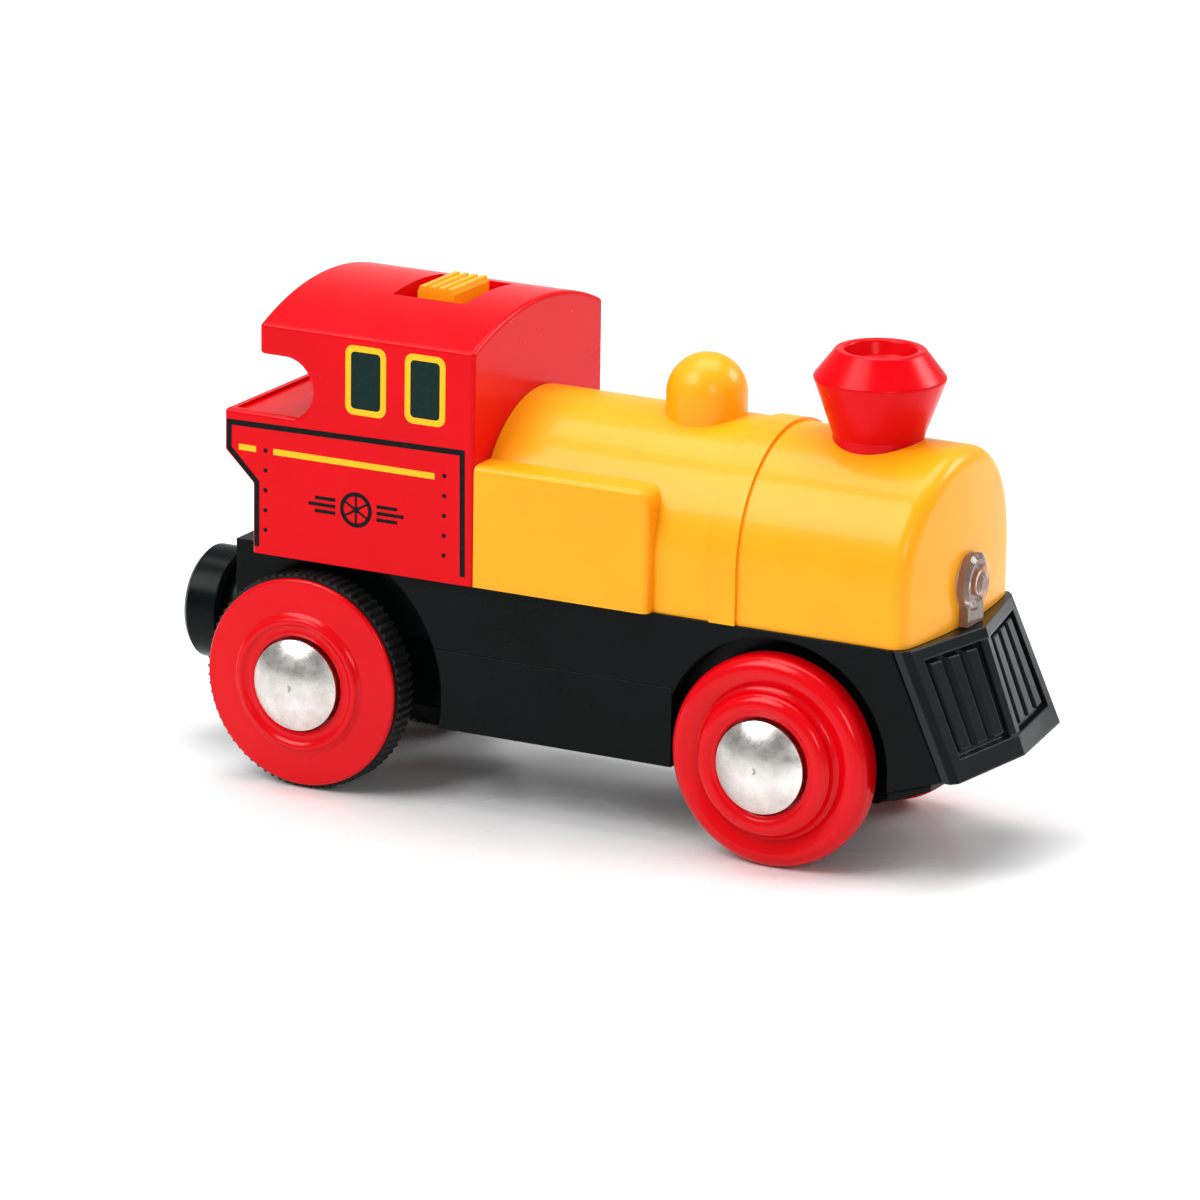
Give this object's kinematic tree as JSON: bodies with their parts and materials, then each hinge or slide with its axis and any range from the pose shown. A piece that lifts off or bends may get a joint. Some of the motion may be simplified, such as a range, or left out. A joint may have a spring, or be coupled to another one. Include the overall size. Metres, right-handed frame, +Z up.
{
  "type": "toy train locomotive",
  "caption": "Battery-driven toy steam locomotive for wooden railway track, with a geared rear axle, roof switch, cowcatcher and magnetic rear coupling.",
  "frame": {"origin": "on the floor under the middle of the overall box, in the toy's centre plane", "axes": "+X to the front of the locomotive, +Y to its left side, +Z up"},
  "size_m": [0.102, 0.0382, 0.056],
  "materials": {
    "red_plastic": "gloss moulded ABS",
    "wheel_red": "gloss moulded ABS",
    "yellow_plastic": "gloss moulded ABS",
    "black_plastic": "satin moulded ABS",
    "black_gloss": "gloss moulded ABS",
    "tyre_rubber": "matt ribbed rubber",
    "hub_steel": "drawn steel cap, lightly worn",
    "lens_clear": "clear moulded plastic",
    "led_epoxy": "cast epoxy",
    "board_green": "coated board",
    "contact_brass": "plain",
    "contact_nickel": "nickel plated",
    "magnet_nickel": "nickel plated",
    "screw_steel": "zinc plated",
    "motor_steel": "zinc plated",
    "gear_white": "acetal",
    "cell_jacket": "printed jacket"
  },
  "bodies": {
    "locomotive_body": {"chassis": "black_plastic", "front_keeper": "black_plastic", "rear_keeper": "black_plastic", "keeper_screws": "screw_steel", "cowcatcher": "black_gloss", "cab_shell": "red_plastic", "boiler_shell": "yellow_plastic", "body_screws": "screw_steel", "chimney": "red_plastic", "headlamp_lens": "lens_clear", "headlamp_led": "led_epoxy", "switch_board": "board_green", "switch_pads": "contact_brass", "battery_cell": "cell_jacket", "contact_front": "contact_nickel", "contact_rear": "contact_nickel", "motor_can": "motor_steel", "gearbox_plate_inner": "gear_white", "gearbox_plate_outer": "gear_white", "gear_arbors": "screw_steel", "coupling_barrel": "black_plastic", "coupling_magnet": "magnet_nickel", "coupling_pin": "screw_steel"},
    "front_wheelset": {"front_axle": "screw_steel", "front_wheel_left": "wheel_red", "front_wheel_right": "wheel_red", "front_hub_cap_left": "hub_steel", "front_hub_cap_right": "hub_steel"},
    "rear_wheelset": {"rear_axle": "screw_steel", "rear_wheel_left": "wheel_red", "rear_wheel_right": "wheel_red", "rear_tyre_left": "tyre_rubber", "rear_tyre_right": "tyre_rubber", "rear_hub_cap_left": "hub_steel", "rear_hub_cap_right": "hub_steel", "axle_gear": "gear_white"},
    "idler": {"idler_gear": "gear_white"},
    "gear_b": {"compound_gear_b": "gear_white"},
    "gear_a": {"compound_gear_a": "gear_white"},
    "motor_rotor": {"motor_shaft": "screw_steel", "motor_pinion": "contact_brass"},
    "switch": {"switch_knob": "yellow_plastic", "switch_wiper": "contact_brass"},
    "battery_hatch": {"battery_cover": "black_plastic", "cover_screw": "screw_steel"}
  },
  "joints": [
    {"name": "front_axle_spin", "type": "hinge", "parent": "locomotive_body", "child": "front_wheelset", "pos_m": [0.02766, 0, 0.01185], "axis": [0, 1, 0], "continuous": true},
    {"name": "rear_axle_spin", "type": "hinge", "parent": "locomotive_body", "child": "rear_wheelset", "pos_m": [-0.02985, 0, 0.0123], "axis": [0, 1, 0], "continuous": true},
    {"name": "idler_spin", "type": "hinge", "parent": "locomotive_body", "child": "idler", "pos_m": [-0.02804, 0, 0.02254], "axis": [0, 1, 0], "continuous": true},
    {"name": "gear_b_spin", "type": "hinge", "parent": "locomotive_body", "child": "gear_b", "pos_m": [-0.02347, 0, 0.02959], "axis": [0, 1, 0], "continuous": true},
    {"name": "gear_a_spin", "type": "hinge", "parent": "locomotive_body", "child": "gear_a", "pos_m": [-0.01654, 0, 0.03359], "axis": [0, 1, 0], "continuous": true},
    {"name": "motor_spin", "type": "hinge", "parent": "locomotive_body", "child": "motor_rotor", "pos_m": [-0.02113, 0, 0.04014], "axis": [0, 1, 0], "continuous": true},
    {"name": "switch_slide", "type": "slide", "parent": "locomotive_body", "child": "switch", "axis": [1, 0, 0], "range_m": [-0.00195, 0.00195]},
    {"name": "battery_hatch_slide", "type": "slide", "parent": "locomotive_body", "child": "battery_hatch", "axis": [0, 0, -1], "range_m": [0, 0.02]}
  ],
  "couplings": [
    {"joint": "idler_spin", "follows": "rear_axle_spin", "ratio": -0.625},
    {"joint": "gear_b_spin", "follows": "rear_axle_spin", "ratio": 2},
    {"joint": "gear_a_spin", "follows": "rear_axle_spin", "ratio": -6},
    {"joint": "motor_spin", "follows": "rear_axle_spin", "ratio": 18}
  ]
}
